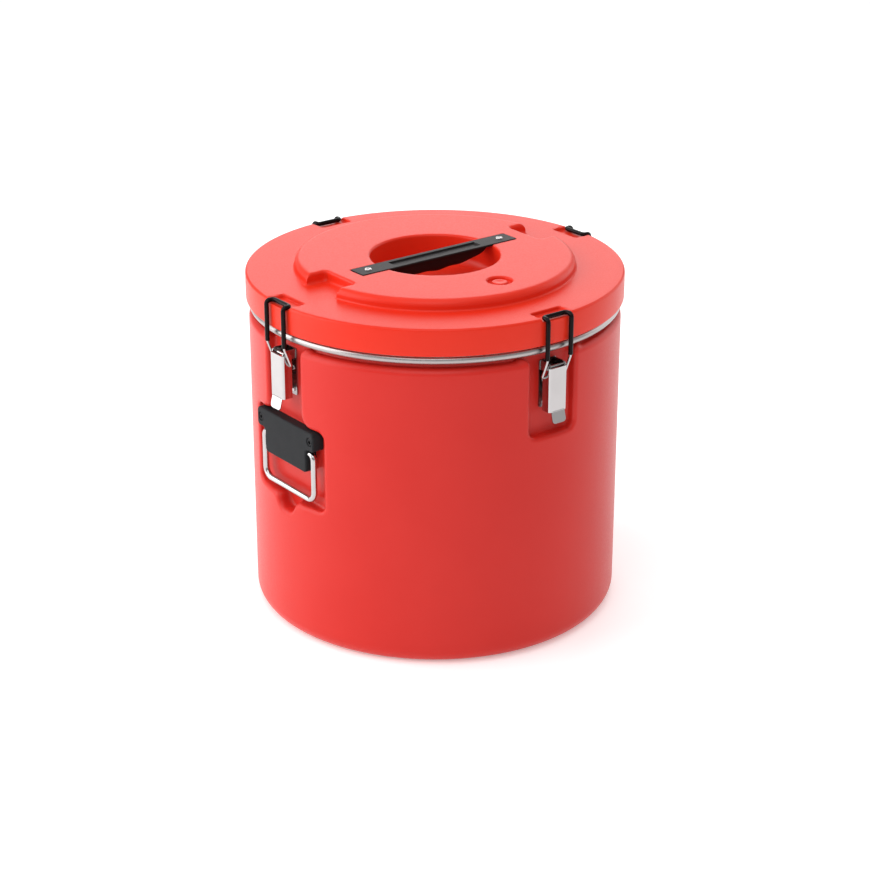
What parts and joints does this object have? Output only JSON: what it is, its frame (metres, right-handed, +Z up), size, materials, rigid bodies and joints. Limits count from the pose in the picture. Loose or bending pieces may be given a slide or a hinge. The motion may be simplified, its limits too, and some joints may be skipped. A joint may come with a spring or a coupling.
{
  "type": "insulated food container",
  "caption": "Round foam-insulated food container with a steel pot, a lift-off lid held by toggle latches, a carrying strap over a lid well and drop handles in side pockets.",
  "frame": {"origin": "centre of the flat base the container stands on", "axes": "+Z up; the drop handles lie on X; the vent lies towards -Y"},
  "size_m": [0.4536, 0.4536, 0.4242],
  "materials": {
    "body_plastic": "satin",
    "lid_plastic": "satin",
    "foam": "matte",
    "pot_steel": "polished",
    "latch_steel": "polished",
    "base_steel": "satin",
    "wire_steel": "polished",
    "handle_steel": "polished",
    "fastener_steel": "polished",
    "dark_screw": "satin",
    "insert_brass": "satin",
    "gasket_rubber": "matte",
    "sleeve_rubber": "gloss",
    "bush_plastic": "matte",
    "strap_plastic": "satin",
    "bracket_plastic": "matte"
  },
  "bodies": {
    "container": {"outer_shell": "body_plastic", "insulation_foam": "foam", "inner_pot": "pot_steel", "latch_rivets": "fastener_steel", "handle_screws": "dark_screw", "latch_base_right": "base_steel", "latch_axle_right": "fastener_steel", "latch_base_back": "base_steel", "latch_axle_back": "fastener_steel", "latch_base_left": "base_steel", "latch_axle_left": "fastener_steel", "latch_base_front": "base_steel", "latch_axle_front": "fastener_steel", "handle_bracket_right": "bracket_plastic", "handle_bracket_left": "bracket_plastic"},
    "lid": {"lid_shell": "lid_plastic", "lid_foam": "foam", "lid_pan": "lid_plastic", "lid_gasket": "gasket_rubber", "vent_bush": "bush_plastic", "strap": "strap_plastic", "strap_screws": "fastener_steel", "strap_inserts": "insert_brass"},
    "vent": {"vent_plug": "lid_plastic"},
    "lever_right": {"lever_right": "latch_steel"},
    "bail_right": {"bail_wire_right": "wire_steel", "bail_sleeve_right": "sleeve_rubber"},
    "lever_back": {"lever_back": "latch_steel"},
    "bail_back": {"bail_wire_back": "wire_steel", "bail_sleeve_back": "sleeve_rubber"},
    "lever_left": {"lever_left": "latch_steel"},
    "bail_left": {"bail_wire_left": "wire_steel", "bail_sleeve_left": "sleeve_rubber"},
    "lever_front": {"lever_front": "latch_steel"},
    "bail_front": {"bail_wire_front": "wire_steel", "bail_sleeve_front": "sleeve_rubber"},
    "handle_right": {"handle_bail_right": "handle_steel"},
    "handle_left": {"handle_bail_left": "handle_steel"}
  },
  "joints": [
    {"name": "lid_lift", "type": "slide", "parent": "container", "child": "lid", "axis": [0, 0, 1], "range_m": [0, 0.36]},
    {"name": "vent_pull", "type": "slide", "parent": "lid", "child": "vent", "axis": [0, 0, 1], "range_m": [0, 0.006]},
    {"name": "latch_right", "type": "hinge", "parent": "container", "child": "lever_right", "pos_m": [0.2165, 0, 0.349], "axis": [0, -1, 0], "range_deg": [0, 100]},
    {"name": "loop_right", "type": "hinge", "parent": "lever_right", "child": "bail_right", "pos_m": [0.2143, 0, 0.3375], "axis": [0, -1, 0], "range_deg": [-140, 0]},
    {"name": "latch_back", "type": "hinge", "parent": "container", "child": "lever_back", "pos_m": [0, 0.2165, 0.349], "axis": [1, 0, 0], "range_deg": [0, 100]},
    {"name": "loop_back", "type": "hinge", "parent": "lever_back", "child": "bail_back", "pos_m": [0, 0.2143, 0.3375], "axis": [1, 0, 0], "range_deg": [-140, 0]},
    {"name": "latch_left", "type": "hinge", "parent": "container", "child": "lever_left", "pos_m": [-0.2165, 0, 0.349], "axis": [0, 1, 0], "range_deg": [0, 100]},
    {"name": "loop_left", "type": "hinge", "parent": "lever_left", "child": "bail_left", "pos_m": [-0.2143, 0, 0.3375], "axis": [0, 1, 0], "range_deg": [-140, 0]},
    {"name": "latch_front", "type": "hinge", "parent": "container", "child": "lever_front", "pos_m": [0, -0.2165, 0.349], "axis": [-1, 0, 0], "range_deg": [0, 100]},
    {"name": "loop_front", "type": "hinge", "parent": "lever_front", "child": "bail_front", "pos_m": [0, -0.2143, 0.3375], "axis": [-1, 0, 0], "range_deg": [-140, 0]},
    {"name": "handle_right", "type": "hinge", "parent": "container", "child": "handle_right", "pos_m": [0.2093, 0, 0.239], "axis": [0, -1, 0], "range_deg": [0, 90]},
    {"name": "handle_left", "type": "hinge", "parent": "container", "child": "handle_left", "pos_m": [-0.2093, 0, 0.239], "axis": [0, 1, 0], "range_deg": [0, 90]}
  ],
  "couplings": [
    {"joint": "loop_right", "follows": "latch_right", "ratio": -1.4},
    {"joint": "loop_back", "follows": "latch_back", "ratio": -1.4},
    {"joint": "loop_left", "follows": "latch_left", "ratio": -1.4},
    {"joint": "loop_front", "follows": "latch_front", "ratio": -1.4}
  ]
}
